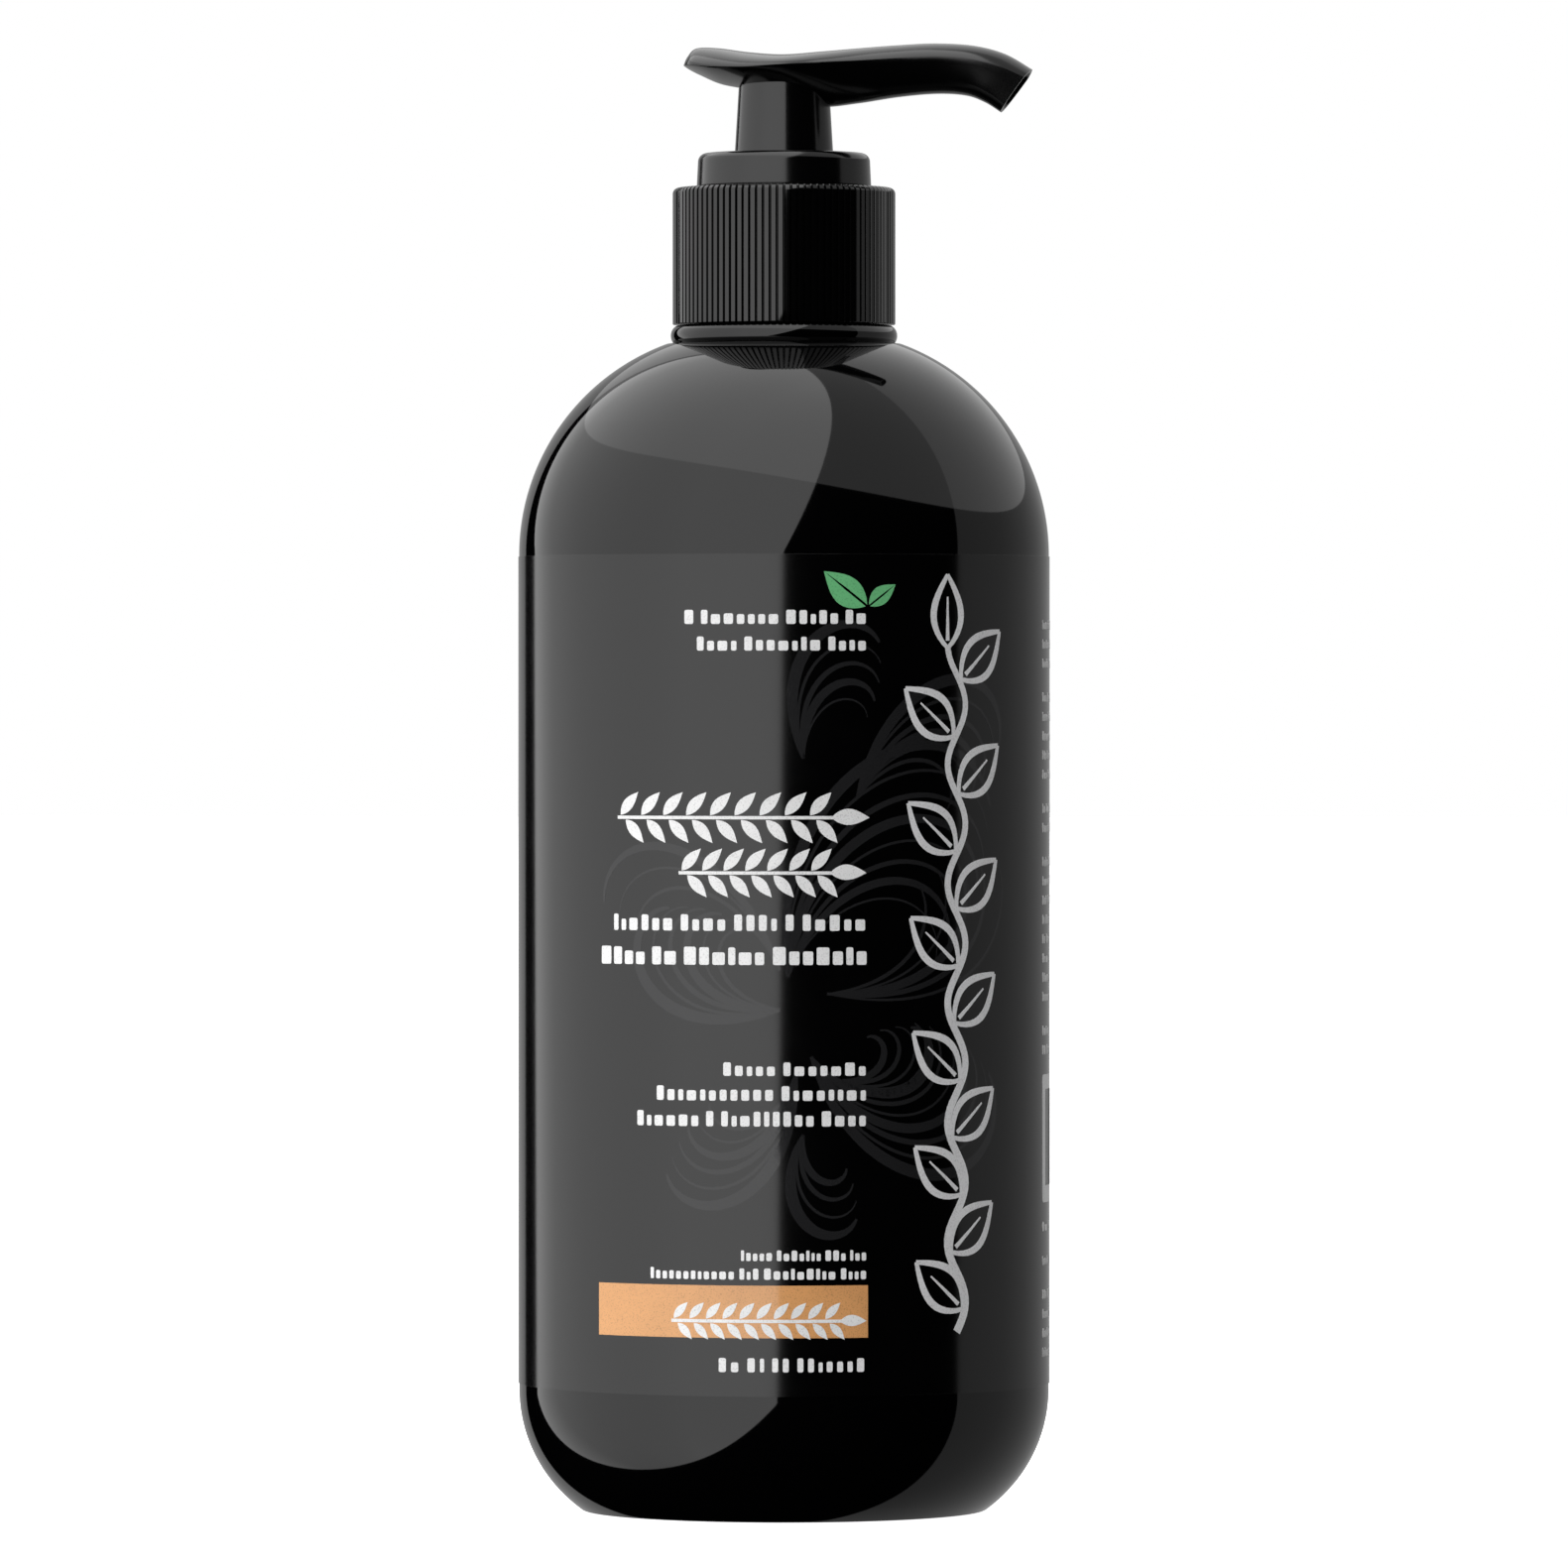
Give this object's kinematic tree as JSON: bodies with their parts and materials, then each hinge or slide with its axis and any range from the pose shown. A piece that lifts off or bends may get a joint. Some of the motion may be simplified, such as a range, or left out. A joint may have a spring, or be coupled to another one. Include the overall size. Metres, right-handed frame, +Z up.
{
  "type": "pump bottle",
  "caption": "Tall round-shouldered black bottle with a wrap label, a ribbed screw closure and a spring-return lotion pump whose head presses, swivels and pours from a drooping spout.",
  "frame": {"origin": "centre of the base on the surface the bottle stands on", "axes": "+Z up along the bottle's axis, +X along the spout, and the label's seam at the back on +Y"},
  "size_m": [0.0692, 0.0692, 0.1908],
  "materials": {
    "bottle_black": "gloss",
    "label_film": "satin gloss film",
    "pump_black": "gloss",
    "natural_plastic": "natural, slightly waxy",
    "soft_plastic": "soft, waxy",
    "tube_plastic": "translucent, waxy",
    "foam": "closed-cell foam",
    "steel_ball": "polished",
    "spring_steel": "drawn wire"
  },
  "bodies": {
    "container": {"bottle": "bottle_black", "wrap_label": "label_film"},
    "engine": {"chaplet": "pump_black", "pump_housing": "natural_plastic", "neck_gasket": "foam", "dip_tube": "tube_plastic", "return_spring": "spring_steel"},
    "closure": {"closure_collar": "pump_black"},
    "stem": {"upper_stem": "natural_plastic", "piston_core": "natural_plastic"},
    "head": {"actuator": "pump_black"},
    "seal": {"piston": "soft_plastic"},
    "check_ball": {"inlet_ball": "steel_ball"}
  },
  "joints": [
    {"name": "collar_unscrew", "type": "hinge", "parent": "engine", "child": "closure", "pos_m": [0, 0, 0.1633], "axis": [0, 0, 1], "range_deg": [0, 540]},
    {"name": "pump_lift", "type": "slide", "parent": "container", "child": "engine", "axis": [0, 0, 1], "range_m": [0, 0.00476]},
    {"name": "head_press", "type": "slide", "parent": "engine", "child": "stem", "axis": [0, 0, -1], "range_m": [0, 0.0055], "stiffness_N_per_m": 1400, "springref_m": -0.006, "deforming": ["return_spring"]},
    {"name": "head_swivel", "type": "hinge", "parent": "stem", "child": "head", "pos_m": [0, 0, 0.1766], "axis": [0, 0, 1], "continuous": true},
    {"name": "piston_lag", "type": "slide", "parent": "stem", "child": "seal", "axis": [0, 0, 1], "range_m": [0, 0.0008]},
    {"name": "ball_lift", "type": "slide", "parent": "engine", "child": "check_ball", "axis": [0, 0, 1], "range_m": [0, 0.002]}
  ],
  "couplings": [
    {"joint": "pump_lift", "follows": "collar_unscrew", "m_per_rad": 0.00050532}
  ]
}
